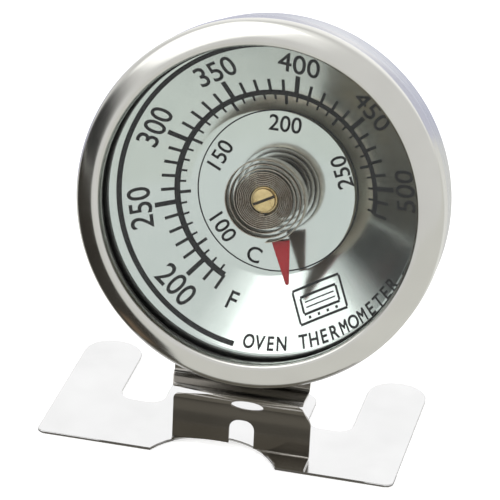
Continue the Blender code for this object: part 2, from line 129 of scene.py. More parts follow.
COIL_INNER = 2.35
COIL_TIGHT_OUTER = 4.7
COIL_OUTER = 6.93
COIL_TIGHT_TURNS = 8
COIL_OPEN_TURNS = 3
COIL_STEPS = 48
COIL_STRIP = 0.15
COIL_FRONT = 5.6
COIL_BACK = 8.2
COIL_END_ANGLE = math.radians(172)
COIL_EDGE = 0.04

STUD_SHAFT = 1.3
STUD_HEAD_BACK = 6.0
SHOULDER_RADIUS = 1.9
SHOULDER_FRONT = 8.5
SHOULDER_BACK = 11.5
STUD_END = 15.7
STUD_CHAMFER = 0.15
SLOT_SIZE = (6, 0.46, 1.4)
SLOT_MIDDLE = 5.0
SLOT_TURN = math.radians(28)

POINTER_ROOT = (3.3, -6.45)
POINTER_TIP = (5.1, -13.5)
POINTER_HALF_ROOT = 1.5
POINTER_HALF_TIP = 0.3
POINTER_TIP_STEPS = 8
POINTER_FRONT = 6.5
POINTER_BACK = 6.8
POINTER_EDGE = 0.05
TAB_HALF = 1.2
TAB_SHEET = 0.3
TAB_FRONT = 6.6

CAMERA_AZIMUTH = math.radians(12.2)
CAMERA_ELEVATION = math.radians(26.75)
CAMERA_ROLL = math.radians(-2.72)
CAMERA_DISTANCE = 0.502
CAMERA_TARGET = (0.00361, -0.012, 0.03666)
CAMERA_LENS = 226.8
FLOOR_HALF = 3.0
FLOOR_DROP = 0.00005
CARD_STEP = 0.00001
WORLD_LEVEL = 0.9

GRAIN_HEIGHT = 0.00002
PEEL_HEIGHT = 0.00003
FLECK_HEIGHT = 0.00005


def case_matrix():
    """The case's frame in the row frame, from the pointer's joint."""
    joint = frame["joints"][0]
    inward = Vector(joint["axis"]).normalized()
    right = Vector((1, 0, 0))
    turn = Matrix((right, inward.cross(right), inward)).transposed().to_4x4()
    return Matrix.Translation(Vector(joint["pos_m"])) @ turn


CASE = case_matrix()


# ---------------------------------------------------------------- materials


class Nodes:
    """A material's node tree, with short ways to add nodes to it."""

    def __init__(self, name):
        self.material = bpy.data.materials.new(name)
        self.material.use_nodes = True
        self.tree = self.material.node_tree
        self.shader = self.tree.nodes["Principled BSDF"]

    def add(self, kind, inputs=None, **settings):
        made = self.tree.nodes.new(kind)
        for key, value in settings.items():
            setattr(made, key, value)
        for key, value in (inputs or {}).items():
            if isinstance(value, bpy.types.NodeSocket):
                self.tree.links.new(value, made.inputs[key])
            else:
                made.inputs[key].default_value = value
        return made

    def set(self, **values):
        for key, value in values.items():
            self.shader.inputs[key.replace("_", " ")].default_value = value

    def feed(self, name, socket):
        self.tree.links.new(socket, self.shader.inputs[name])

    def place(self):
        """Position on the piece, in its own frame, in metres."""
        return self.add("ShaderNodeTexCoord").outputs["Object"]

    def noise(self, vector, scale, detail=3.0, rough=0.55):
        inputs = {"Vector": vector, "Scale": scale, "Detail": detail, "Roughness": rough}
        return self.add("ShaderNodeTexNoise", inputs).outputs["Fac"]

    def span(self, value, low, high, start=0.3, end=0.7):
        """A value from start..end spread over low..high."""
        inputs = {"Value": value, "From Min": start, "From Max": end, "To Min": low, "To Max": high}
        return self.add("ShaderNodeMapRange", inputs).outputs["Result"]

    def tint(self, value, low, high):
        """A colour between two, by a value from 0 to 1."""
        mix = self.add("ShaderNodeMix", data_type="RGBA")
        self.tree.links.new(value, mix.inputs["Factor"])
        first, second = [s for s in mix.inputs if s.type == "RGBA"]
        first.default_value = (*low, 1.0)
        second.default_value = (*high, 1.0)
        return next(s for s in mix.outputs if s.type == "RGBA")

    def mottle(self, value, low, high):
        """Base colour that wanders between two with a noise value."""
        self.feed("Base Color", self.tint(self.span(value, 0.0, 1.0), low, high))

    def bump(self, value, strength, distance):
        inputs = {"Height": value, "Strength": strength, "Distance": distance}
        self.feed("Normal", self.add("ShaderNodeBump", inputs).outputs["Normal"])

    def grain_place(self, along, across):
        """Position stretched for grain that runs along X."""
        inputs = {"Vector": self.place(), "Scale": (along, across, across)}
        return self.add("ShaderNodeMapping", inputs, vector_type="POINT").outputs["Vector"]

    def ring_place(self, around, across):
        """Position stretched for grain that runs round the case's axis."""
        apart = self.add("ShaderNodeSeparateXYZ", {"Vector": self.place()})
        flat = self.add("ShaderNodeCombineXYZ", {"X": apart.outputs["X"], "Y": apart.outputs["Y"]})
        length = self.add("ShaderNodeVectorMath", {0: flat.outputs["Vector"]}, operation="LENGTH")
        unit = self.add("ShaderNodeVectorMath", {0: flat.outputs["Vector"]}, operation="NORMALIZE")
        reach = self.add(
            "ShaderNodeMath", {0: length.outputs["Value"], 1: apart.outputs["Z"]}, operation="ADD"
        )
        deep = self.add("ShaderNodeMath", {0: reach.outputs["Value"], 1: across}, operation="MULTIPLY")
        side = self.add(
            "ShaderNodeVectorMath", {0: unit.outputs["Vector"], "Scale": around}, operation="SCALE"
        )
        parts = self.add("ShaderNodeSeparateXYZ", {"Vector": side.outputs["Vector"]})
        inputs = {"X": parts.outputs["X"], "Y": parts.outputs["Y"], "Z": deep.outputs["Value"]}
        return self.add("ShaderNodeCombineXYZ", inputs).outputs["Vector"]


def metal(name, colour, roughness, spread, place, shade=0.93, bump=0.02):
    """Bare metal: fine grain in its gloss, cloudy handling marks, and a slightly uneven tone."""
    nodes = Nodes(name)
    grain = nodes.noise(place(nodes), 1.0, 4.0)
    cloud = nodes.noise(nodes.place(), 90.0, 3.0)
    darker = tuple(part * shade for part in colour)
    nodes.mottle(cloud, darker, colour)
    both = nodes.add("ShaderNodeMath", {0: grain, 1: cloud}, operation="ADD").outputs["Value"]
    nodes.feed("Roughness", nodes.span(both, roughness - spread, roughness + spread, 0.75, 1.25))
    nodes.bump(grain, bump, GRAIN_HEIGHT)
    nodes.set(Metallic=1.0)
    return nodes.material


def rolled_steel(name, colour, roughness):
    """Sheet steel with the faint straight grain of the rolling mill."""
    return metal(name, colour, roughness, 0.04, lambda nodes: nodes.grain_place(250.0, 9000.0))


def spun_steel(name, colour, roughness, bump=0.02):
    """Steel polished on a lathe: its grain runs round the case's axis."""
    return metal(name, colour, roughness, 0.04, lambda nodes: nodes.ring_place(6.0, 9000.0), bump=bump)


def clear_glass():
    """Window glass that lets lamps through."""
    nodes = Nodes("window_glass")
    nodes.set(Base_Color=(0.97, 0.99, 0.98, 1.0), Roughness=0.0, IOR=1.25, Transmission_Weight=1.0)
    through = nodes.add("ShaderNodeBsdfTransparent", {"Color": (0.96, 0.97, 0.965, 1.0)})
    rays = nodes.add("ShaderNodeLightPath")
    mix = nodes.add(
        "ShaderNodeMixShader",
        {
            0: rays.outputs["Is Shadow Ray"],
            1: nodes.shader.outputs["BSDF"],
            2: through.outputs["BSDF"],
        },
    )
    nodes.tree.links.new(mix.outputs["Shader"], nodes.tree.nodes["Material Output"].inputs["Surface"])
    return nodes.material


def dial_metal():
    """Bright sheet of the dial under clear lacquer, faintly green, with a little haze."""
    nodes = Nodes("dial_sheet")
    cloud = nodes.noise(nodes.place(), 140.0, 4.0)
    grain = nodes.noise(nodes.ring_place(8.0, 7000.0), 1.0, 3.0)
    nodes.mottle(cloud, (0.60, 0.645, 0.62), (0.64, 0.68, 0.655))
    depth = nodes.add("ShaderNodeSeparateXYZ", {"Vector": nodes.place()}).outputs["Z"]
    flatness = nodes.span(depth, 0.035, 0.0, (DISC_DEPTH - 0.3) * MM, (DISC_DEPTH - 0.02) * MM)
    haze = nodes.add("ShaderNodeMath", {0: nodes.span(cloud, 0.08, 0.13), 1: flatness}, operation="ADD")
    nodes.feed("Roughness", haze.outputs["Value"])
    nodes.bump(grain, 0.006, GRAIN_HEIGHT)
    nodes.set(Metallic=1.0, Coat_Weight=0.15, Coat_Roughness=0.08)
    return nodes.material


def ink():
    """Black stoved ink, thin and a little uneven."""
    nodes = Nodes("dial_ink")
    speck = nodes.noise(nodes.place(), 2500.0, 3.0)
    nodes.mottle(speck, (0.012, 0.012, 0.013), (0.028, 0.029, 0.03))
    nodes.feed("Roughness", nodes.span(speck, 0.38, 0.55))
    nodes.set(Specular_IOR_Level=0.2)
    return nodes.material


def bimetal():
    """Bimetal strip: rolled steel with brown and straw heat tints that change from turn to turn."""
    nodes = Nodes("bimetal_strip")
    tone = nodes.noise(nodes.ring_place(1.6, 900.0), 1.0, 4.0)
    grain = nodes.noise(nodes.ring_place(5.0, 9000.0), 1.0, 3.0)
    nodes.mottle(tone, (0.23, 0.18, 0.14), (0.47, 0.42, 0.35))
    nodes.feed("Roughness", nodes.span(grain, 0.22, 0.4))
    nodes.bump(grain, 0.05, GRAIN_HEIGHT)
    nodes.set(Metallic=1.0)
    return nodes.material


def oxide():
    """Painted shade on the coil's rear edge: a dark colour that stands for the shade where the edge faces the
    dial.
    """
    nodes = Nodes("bimetal_painted_shade")
    stain_and_shade_noise = nodes.noise(nodes.place(), 1500.0, 4.0)
    nodes.mottle(stain_and_shade_noise, (0.03, 0.026, 0.022), (0.07, 0.06, 0.05))
    nodes.feed("Roughness", nodes.span(stain_and_shade_noise, 0.45, 0.65))
    return nodes.material


def brass(name):
    """Turned brass, slightly tarnished."""
    nodes = Nodes(name)
    tarnish = nodes.noise(nodes.place(), 700.0, 4.0)
    rings = nodes.noise(nodes.ring_place(1.0, 12000.0), 1.0, 2.0)
    nodes.mottle(tarnish, (0.48, 0.35, 0.16), (0.78, 0.61, 0.32))
    nodes.feed("Roughness", nodes.span(tarnish, 0.22, 0.38))
    nodes.bump(rings, 0.12, GRAIN_HEIGHT)
    nodes.set(Metallic=1.0)
    return nodes.material


def tarnish():
    """Painted shade in the stud's slot: a dark brown colour that stands for the shade in the recess."""
    nodes = Nodes("slot_painted_shade")
    stain_and_shade_noise = nodes.noise(nodes.place(), 2500.0, 4.0)
    nodes.mottle(stain_and_shade_noise, (0.035, 0.022, 0.012), (0.09, 0.06, 0.03))
    nodes.feed("Roughness", nodes.span(stain_and_shade_noise, 0.5, 0.7))
    return nodes.material


def red_paint():
    """Baked red paint with a faint orange-peel."""
    nodes = Nodes("pointer_paint")
    peel = nodes.noise(nodes.place(), 1800.0, 2.0)
    nodes.mottle(peel, (0.34, 0.014, 0.02), (0.43, 0.022, 0.028))
    nodes.feed("Roughness", nodes.span(peel, 0.34, 0.46))
    nodes.bump(peel, 0.08, PEEL_HEIGHT)
    nodes.set(Specular_IOR_Level=0.3)
    return nodes.material


def bare_back():
    """The pointer's unpainted back: dull brown primer over thin sheet."""
    nodes = Nodes("pointer_primer")
    stain_and_shade_noise = nodes.noise(nodes.place(), 1200.0, 4.0)
    nodes.mottle(stain_and_shade_noise, (0.17, 0.10, 0.075), (0.27, 0.17, 0.13))
    nodes.feed("Roughness", nodes.span(stain_and_shade_noise, 0.5, 0.7))
    return nodes.material


def fibre():
    """Dull dark gasket board."""
    nodes = Nodes("gasket_board")
    fleck = nodes.noise(nodes.place(), 1500.0, 5.0)
    nodes.mottle(fleck, (0.012, 0.012, 0.011), (0.04, 0.039, 0.036))
    nodes.feed("Roughness", nodes.span(fleck, 0.75, 0.95))
    nodes.bump(fleck, 0.3, FLECK_HEIGHT)
    return nodes.material


# ---------------------------------------------------------------- mesh helpers


def finish_mesh(bm, name, smooth_angle):
    """A shaded mesh in metres from a bmesh in millimetres."""
    bmesh.ops.scale(bm, vec=(MM, MM, MM), verts=bm.verts)
    bmesh.ops.recalc_face_normals(bm, faces=bm.faces)
    mesh = bpy.data.meshes.new(name)
    bm.to_mesh(mesh)
    bm.free()
    mesh.shade_smooth()
    mesh.set_sharp_from_angle(angle=math.radians(smooth_angle))
    return mesh


def case_piece(name, bm, look, body, nodes=(), smooth_angle=35):
    """A finished piece in the case's frame, riding on a body and standing for CAD nodes."""
    piece = bpy.data.objects.new(name, finish_mesh(bm, name, smooth_angle))
    bpy.context.scene.collection.objects.link(piece)
    piece.data.materials.append(look)
    piece.matrix_world = CASE
    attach(piece, body)
    if nodes:
        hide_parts(*nodes)
    return piece


def curve_through(points, steps=6):
    """A smooth line through points (Catmull-Rom), ends included."""
    line = []
    for i in range(len(points) - 1):
        a = Vector(points[max(i - 1, 0)])
        b = Vector(points[i])
        c = Vector(points[i + 1])
        d = Vector(points[min(i + 2, len(points) - 1)])
        for k in range(steps):
            t = k / steps
            square = (2 * a - 5 * b + 4 * c - d) * t**2
            cube = (3 * b - a - 3 * c + d) * t**3
            line.append(0.5 * (2 * b + (c - a) * t + square + cube))
    line.append(Vector(points[-1]))
    return line


def arc(centre, radius, start, end, steps):
    """Points of an arc, both ends included."""
    angles = [start + (end - start) * i / steps for i in range(steps + 1)]
    x, y = centre
    return [Vector((x + radius * math.cos(a), y + radius * math.sin(a))) for a in angles]


def band(line, thickness):
    """Closed outline of a sheet that follows a line, with its thickness on the line's right."""
    shifted = []
    for i, point in enumerate(line):
        along = (Vector(line[min(i + 1, len(line) - 1)]) - Vector(line[max(i - 1, 0)])).normalized()
        shifted.append(Vector(point) + Vector((along.y, -along.x)) * thickness)
    return [Vector(p) for p in line] + shifted[::-1]


def turned(loop, steps=FINE_TURN):
    """bmesh of a ring with the closed outline (radius, depth)."""
    bm = bmesh.new()
    rings = []
    for k in range(steps):
        angle = math.tau * k / steps
        rings.append([bm.verts.new((p[0] * math.sin(angle), -p[0] * math.cos(angle), p[1])) for p in loop])
    for here, there in zip(rings, rings[1:] + rings[:1]):
        for i in range(len(loop)):
            j = (i + 1) % len(loop)
            bm.faces.new((here[i], here[j], there[j], there[i]))
    return bm


def capped_turn(line, steps=SMALL_TURN):
    """bmesh of a solid of revolution from an open line whose ends lie on the axis."""
    bm = bmesh.new()
    vertices = [bm.verts.new((0, -p[0], p[1])) for p in line]
    edges = [bm.edges.new(pair) for pair in zip(vertices, vertices[1:])]
    bmesh.ops.spin(
        bm,
        geom=vertices + edges,
        cent=(0, 0, 0),
        axis=(0, 0, 1),
        angle=math.tau,
        steps=steps,
        use_merge=True,
    )
    bmesh.ops.remove_doubles(bm, verts=bm.verts, dist=1e-5)
    return bm


# ---------------------------------------------------------------- case


def make_bezel():
    """The rolled ring, with a soft crest and a lip that turns in to the glass."""
    crest = [
        (BEZEL_RADIUS - 0.01, 2.4),
        (BEZEL_RADIUS, 1.5),
        (BEZEL_RADIUS - 0.06, 0.85),
        (BEZEL_RADIUS - 0.4, 0.25),
        (BEZEL_RADIUS - 1.0, -0.22),
        (BEZEL_RADIUS - 1.8, -0.63),
        (BEZEL_RADIUS - 2.7, -1.0),
        (WINDOW_RADIUS + 0.95, BEZEL_CREST),
        (WINDOW_RADIUS + 0.45, -1.1),
        (WINDOW_RADIUS + 0.14, -0.8),
        (WINDOW_RADIUS, -0.2),
        (WINDOW_RADIUS, 0.35),
        (WINDOW_RADIUS, LIP_END),
    ]
    line = [Vector((BEZEL_RADIUS, BEZEL_SKIRT)), *curve_through(crest, 8)]
    look = spun_steel("bezel_polish", (0.64, 0.635, 0.60), 0.17)
    case_piece("bezel", turned(band(line, BEZEL_SHEET)), look, "case", ["bezel_ring"])


def make_cup():
    """The drawn cup: a straight wall, a round corner and a back with the stud's hole in it."""
    corner = arc((CUP_RADIUS - CUP_CORNER, CUP_BACK - CUP_CORNER), CUP_CORNER, 0, math.pi / 2, 12)
    wall = [Vector((CUP_RADIUS, CUP_RIM)), Vector((CUP_RADIUS, CUP_WALL_RING))]
    line = [*wall, *corner, Vector((PIVOT_HOLE, CUP_BACK))]
    look = spun_steel("cup_satin", (0.60, 0.61, 0.615), 0.27)
    case_piece("cup", turned(band(line[::-1], CUP_SHEET)), look, "case", ["case_cup"])


def make_glass():
    """The flat window with polished chamfers."""
    chamfer = GLASS_CHAMFER
    line = [
        (0, GLASS_FRONT),
        (GLASS_RADIUS - chamfer, GLASS_FRONT),
        (GLASS_RADIUS, GLASS_FRONT + chamfer),
        (GLASS_RADIUS, GLASS_BACK - chamfer),
        (GLASS_RADIUS - chamfer, GLASS_BACK),
        (0, GLASS_BACK),
    ]
    bm = capped_turn(line, FINE_TURN)
    case_piece("window", bm, clear_glass(), "case", ["glass_window"], smooth_angle=20)


def make_spacer():
    """The ring between window and dial, coloured near-black as painted shade that stands for the shaded gap
    under the bezel.
    """
    inner = DIAL_LIP_RADIUS + 3 * GAP
    front = GLASS_BACK + GAP
    back = DIAL_RIM - GAP
    soft = SPACER_CHAMFER
    loop = [
        (inner, front + soft),
        (inner + soft, front),
        (SEAT_RADIUS, front),
        (SEAT_RADIUS, back),
        (inner + soft, back),
        (inner, back - soft),
    ]
    # Painted shade: the near-black colour stands for the shaded gap under the bezel.
    look = spun_steel("spacer_painted_shade", (0.05, 0.05, 0.048), 0.35)
    case_piece("spacer", turned(loop), look, "case", ["spacer_ring"])


def dial_line():
    """(radius, depth) of the dial's face from its rim to the stud's hole, with eased corners."""
    lip = Vector((DIAL_LIP_RADIUS, DIAL_RIM))
    foot = Vector((DISC_RADIUS + 0.3, DISC_DEPTH - 0.15))
    cone = (foot - lip).normalized()
    return [
        Vector((SEAT_RADIUS, DIAL_RIM)),
        lip + Vector((0.15, 0)),
        lip + cone * 0.2 + Vector((0, 0.01)),
        foot - cone * 0.1,
        Vector((DISC_RADIUS + 0.05, DISC_DEPTH - 0.07)),
        Vector((DISC_RADIUS - 0.4, DISC_DEPTH)),
        Vector((PIVOT_HOLE, DISC_DEPTH)),
    ]


def make_dial():
    """The dished dial."""
    bm = turned(band(dial_line(), DIAL_SHEET))
    case_piece("dial", bm, dial_metal(), "case", ["dial_plate"], smooth_angle=12)


def dial_depth(radius):
    """Depth of the dial's face at a radius."""
    line = dial_line()
    for outer, inner in zip(line, line[1:]):
        if inner.x <= radius <= outer.x:
            return outer.y + (inner.y - outer.y) * (outer.x - radius) / (outer.x - inner.x)
    return DISC_DEPTH


# ---------------------------------------------------------------- the dial's print


def add_patch(bm, corners):
    """One flat printed area from corners (right, up) in millimetres."""
    bm.faces.new([bm.verts.new((x, y, 0)) for x, y in corners])


def polar(radius, angle):
    """(right, up) of a point on the print, with the angle clockwise from its top."""
    return (radius * math.sin(angle), radius * math.cos(angle))


def add_tick(bm, angle, start, end, width):
    """A scale line along a radius."""
    along = Vector(polar(1, angle))
    across = Vector((along.y, -along.x)) * width / 2
    near = along * start
    far = along * end
    add_patch(bm, [near - across, far - across, far + across, near + across])


def add_ring(bm, radius, width, start, end):
    """An arc of the print, as short patches."""
    steps = max(int(abs(end - start) * radius / INK_SPAN), 8)
    inner = radius - width / 2
    outer = radius + width / 2
    for k in range(steps):
        a = start + (end - start) * k / steps
        b = start + (end - start) * (k + 1) / steps
        add_patch(bm, [polar(inner, a), polar(outer, a), polar(outer, b), polar(inner, b)])


def add_words(bm, words, height, radius, angle, flipped=False, boldness=0.03, stretch=1.0):
    """Lettering, centred at a radius and angle, with its top outward, or to the centre if flipped."""
    curve = bpy.data.curves.new("words", "FONT")
    curve.body = words
    curve.resolution_u = LETTER_STEPS
    holder = bpy.data.objects.new("words", curve)
    bpy.context.scene.collection.objects.link(holder)
    graph = bpy.context.evaluated_depsgraph_get()
    mesh = bpy.data.meshes.new_from_object(holder.evaluated_get(graph))
    bpy.data.objects.remove(holder)
    xs = [v.co.x for v in mesh.vertices]
    ys = [v.co.y for v in mesh.vertices]
    middle = Vector(((min(xs) + max(xs)) / 2, (min(ys) + max(ys)) / 2, 0))
    scale = height / (max(ys) - min(ys))
    turn = angle + (math.pi if flipped else 0)
    place = Matrix.Translation((*polar(radius, angle), 0)) @ Matrix.Rotation(-turn, 4, "Z")
    sized = Matrix.Diagonal((scale * stretch, scale, scale, 1))
    mesh.transform(place @ sized @ Matrix.Translation(-middle))
    strokes = Matrix.Rotation(-turn, 2)
    for side, up in ((-1, -1), (1, -1), (1, 1), (-1, 1)):
        shift = strokes @ Vector((side, up)) * boldness
        layer = mesh.copy()
        layer.transform(Matrix.Translation((*shift, 0)))
        bm.from_mesh(layer)
        bpy.data.meshes.remove(layer)
    bpy.data.meshes.remove(mesh)


def scale_angle(fahrenheit):
    """Angle on the print of a Fahrenheit value."""
    return math.radians((fahrenheit - TOP_F) * DEGREES_PER_F)


def celsius_angle(celsius):
    """Angle on the print of a Celsius value."""
    return scale_angle(celsius * 1.8 + 32)


def lay_on_dial(bm):
    """Turns flat print into thin ink that follows the dial's dish."""
    bmesh.ops.remove_doubles(bm, verts=bm.verts, dist=1e-4)
    bmesh.ops.triangulate(bm, faces=bm.faces)
    for _ in range(4):
        long_edges = [e for e in bm.edges if e.calc_length() > INK_SPAN]
        if not long_edges:
            break
        bmesh.ops.subdivide_edges(bm, edges=long_edges, cuts=1)
        bmesh.ops.triangulate(bm, faces=bm.faces)
    bmesh.ops.recalc_face_normals(bm, faces=bm.faces)
    raised = bmesh.ops.extrude_face_region(bm, geom=list(bm.faces), use_keep_orig=True)
    for part in raised["geom"]:
        if isinstance(part, bmesh.types.BMVert):
            part.co.z = -INK
    turn = Matrix.Rotation(-PRINT_TURN, 2)
    for v in bm.verts:
        right, up = turn @ Vector((v.co.x, v.co.y))
        x = right + PRINT_CENTRE[0]
        y = PRINT_CENTRE[1] - up
        lift = v.co.z
        v.co = (x, y, dial_depth(math.hypot(x, y)) - PRINT_LIFT + lift)
    return bm


def print_piece(name, bm, look):
    """One printed piece, which lies on the dial."""
    case_piece(name, lay_on_dial(bm), look, "case", smooth_angle=30)


def make_scale(look):
    """The ring line with its Fahrenheit ticks outward and Celsius ticks inward."""
    bm = bmesh.new()
    add_ring(bm, TICK_RADIUS, RING_LINE, scale_angle(LOW_F), scale_angle(HIGH_F))
    for value in range(LOW_F, HIGH_F + 1, STEP_F):
        major = value % MAJOR_F == 0
        reach = TICK_RADIUS + (LONG_TICK_F if major else SHORT_TICK_F)
        add_tick(bm, scale_angle(value), TICK_RADIUS, reach, BROAD_TICK_F if major else FINE_TICK_F)
    for value in range(LOW_C, HIGH_C + 1, STEP_C):
        major = value % MAJOR_C == 0
        reach = TICK_RADIUS - (LONG_TICK_C if major else SHORT_TICK_C)
        add_tick(bm, celsius_angle(value), reach, TICK_RADIUS, BROAD_TICK_C if major else FINE_TICK_C)
    print_piece("print_scale", bm, look)


def make_rings(look):
    """The broad arc round the dial and the hairline at the edge of its flat disc."""
    bm = bmesh.new()
    add_ring(bm, OUTER_ARC_RADIUS, OUTER_ARC_LINE, -OUTER_ARC_REACH, OUTER_ARC_REACH)
    print_piece("print_outer_arc", bm, look)
    hair = bmesh.new()
    add_ring(hair, DISC_LINE_RADIUS, DISC_LINE, 0, math.tau)
    print_piece("print_disc_line", hair, look)


def make_numbers(look):
    """The Fahrenheit and Celsius numbers and the two unit letters."""
    bm = bmesh.new()
    for value in range(FIRST_F, LAST_F + 1, NUMBER_GAP):
        angle = scale_angle(value)
        add_words(bm, str(value), NUMBER_HEIGHT_F, NUMBER_RADIUS_F, angle, abs(angle) > math.pi / 2)
    print_piece("print_fahrenheit", bm, look)
    inner = bmesh.new()
    for value in range(FIRST_C, LAST_C + 1, NUMBER_GAP):
        angle = celsius_angle(value)
        add_words(inner, str(value), NUMBER_HEIGHT_C, NUMBER_RADIUS_C, angle, abs(angle) > math.pi / 2)
    print_piece("print_celsius", inner, look)
    units = bmesh.new()
    for letter, place in (("F", UNIT_F), ("C", UNIT_C)):
        add_words(units, letter, UNIT_HEIGHT, *place, flipped=True)
    print_piece("print_units", units, look)


def make_title(look):
    """The generic words along the gap of the outer arc, letter by letter."""
    bm = bmesh.new()
    for i, letter in enumerate(TITLE):
        if letter != " ":
            angle = math.pi + (len(TITLE) / 2 - 0.5 - i) * TITLE_PITCH
            stretch = NARROW_STRETCH if letter == "M" else LETTER_STRETCH
            add_words(bm, letter, TITLE_HEIGHT, TITLE_RADIUS, angle, True, TITLE_BOLDNESS, stretch)
    print_piece("print_title", bm, look)


def make_pictogram(look):
    """A plain oven symbol: a box, its window, two shelf lines and four knobs."""
    bm = bmesh.new()
    centre = Vector(PICTOGRAM_CENTRE)
    half_line = PICTOGRAM_STROKE / 2

    def bar(x0, y0, x1, y1):
        low = centre - Vector((x0, y0))
        high = centre - Vector((x1, y1))
        add_patch(bm, [(low.x, low.y), (high.x, low.y), (high.x, high.y), (low.x, high.y)])

    for half_width, half_height in (PICTOGRAM_BOX, PICTOGRAM_WINDOW):
        inner = half_height - half_line
        for sign in (-1, 1):
            level = sign * half_height
            bar(-half_width, level - half_line, half_width, level + half_line)
            side = sign * half_width
            bar(side - half_line, -inner, side + half_line, inner)
    for level in (-SHELF_LEVEL, SHELF_LEVEL):
        bar(-SHELF_HALF_LENGTH, level - SHELF_HALF_LINE, SHELF_HALF_LENGTH, level + SHELF_HALF_LINE)
    for place in KNOB_PLACES:
        bar(place - KNOB_HALF, KNOB_LEVEL - KNOB_HALF, place + KNOB_HALF, KNOB_LEVEL + KNOB_HALF)
    print_piece("print_pictogram", bm, look)


# ---------------------------------------------------------------- movement


def coil_radius(turns):
    """Radius of the coil after a number of turns from its inner end: closely wound, then open."""
    if turns < COIL_TIGHT_TURNS:
        return COIL_INNER + (COIL_TIGHT_OUTER - COIL_INNER) * turns / COIL_TIGHT_TURNS
    share = (turns - COIL_TIGHT_TURNS) / COIL_OPEN_TURNS
    return COIL_TIGHT_OUTER + (COIL_OUTER - COIL_TIGHT_OUTER) * share


def make_coil():
    """The bimetal strip, with rounded edges, wound flat."""
    half = COIL_STRIP / 2
    soft = COIL_EDGE
    section = [
        (-half, COIL_FRONT + soft),
        (-half + soft, COIL_FRONT),
        (half - soft, COIL_FRONT),
        (half, COIL_FRONT + soft),
        (half, COIL_BACK - soft),
        (half - soft, COIL_BACK),
        (-half + soft, COIL_BACK),
        (-half, COIL_BACK - soft),
    ]
    bm = bmesh.new()
    steps = (COIL_TIGHT_TURNS + COIL_OPEN_TURNS) * COIL_STEPS
    rings = []
    for k in range(steps + 1):
        radius = coil_radius(k / COIL_STEPS)
        angle = COIL_END_ANGLE - math.tau * (steps - k) / COIL_STEPS
        side, down = math.sin(angle), -math.cos(angle)
        reaches = [(radius + r, depth) for r, depth in section]
        rings.append([bm.verts.new((reach * side, reach * down, depth)) for reach, depth in reaches])
    for here, there in zip(rings, rings[1:]):
        for i in range(len(section)):
            j = (i + 1) % len(section)
            bm.faces.new((here[i], here[j], there[j], there[i]))
    bm.faces.new(rings[0][::-1])
    bm.faces.new(rings[-1])
    coil = case_piece("coil", bm, bimetal(), "stud", ["bimetal_coil"], smooth_angle=50)
    # Painted shade: faces on the coil's rear edge get the dark second material, which stands for the shade
    # where the coil faces the dial.
    coil.data.materials.append(oxide())
    for face in coil.data.polygons:
        if face.center.z > (COIL_BACK - soft * 0.9) * MM:
            face.material_index = 1


def make_stud():
    """The brass stud with a domed, slotted head."""
    head = [(0, 5.22), (0.9, 5.24), (1.5, 5.3), (1.85, 5.42), (1.95, 5.6), (1.95, STUD_HEAD_BACK)]
    neck = [(STUD_SHAFT, STUD_HEAD_BACK), (STUD_SHAFT, SHOULDER_FRONT)]
    shoulder = [(SHOULDER_RADIUS, SHOULDER_FRONT), (SHOULDER_RADIUS, SHOULDER_BACK)]
    shaft = [(STUD_SHAFT, SHOULDER_BACK), (STUD_SHAFT, STUD_END - STUD_CHAMFER)]
    end = [(STUD_SHAFT - STUD_CHAMFER, STUD_END), (0, STUD_END)]
    bm = capped_turn([*head, *neck, *shoulder, *shaft, *end])
    look = brass("stud_brass_turned")
    stud = case_piece("stud", bm, look, "stud", ["calibration_stud"])
    cut = bmesh.new()
    bmesh.ops.create_cube(cut, size=1, matrix=Matrix.Diagonal((*SLOT_SIZE, 1)))
    bmesh.ops.translate(cut, vec=(0, 0, SLOT_MIDDLE), verts=cut.verts)
    bmesh.ops.rotate(cut, matrix=Matrix.Rotation(-SLOT_TURN, 3, "Z"), verts=cut.verts)
    cutter = bpy.data.objects.new("slot_cutter", finish_mesh(cut, "slot_cutter", 30))
    bpy.context.scene.collection.objects.link(cutter)
    cutter.matrix_world = CASE
    bpy.context.view_layer.update()
    slot = stud.modifiers.new("slot", "BOOLEAN")
    slot.operation = "DIFFERENCE"
    slot.object = cutter
    graph = bpy.context.evaluated_depsgraph_get()
    mesh = bpy.data.meshes.new_from_object(stud.evaluated_get(graph))
    stud.modifiers.clear()
    stud.data = mesh
    mesh.set_sharp_from_angle(angle=math.radians(35))
    # Painted shade: the slot's walls and bottom get the dark second material, which stands for the shade in
    # the recess.
    mesh.materials.append(tarnish())
    across = Vector((math.sin(SLOT_TURN), math.cos(SLOT_TURN), 0))
    _, width, height = SLOT_SIZE
    bottom = SLOT_MIDDLE + height / 2
    for face in mesh.polygons:
        middle = face.center / MM
        in_slot = abs(middle.dot(across)) < width / 2 + 0.01 and middle.z < bottom + 0.05
        if in_slot and (abs(face.normal.dot(across)) > 0.9 or middle.z > bottom - 0.1):
            face.material_index = 1
    bpy.data.objects.remove(cutter)


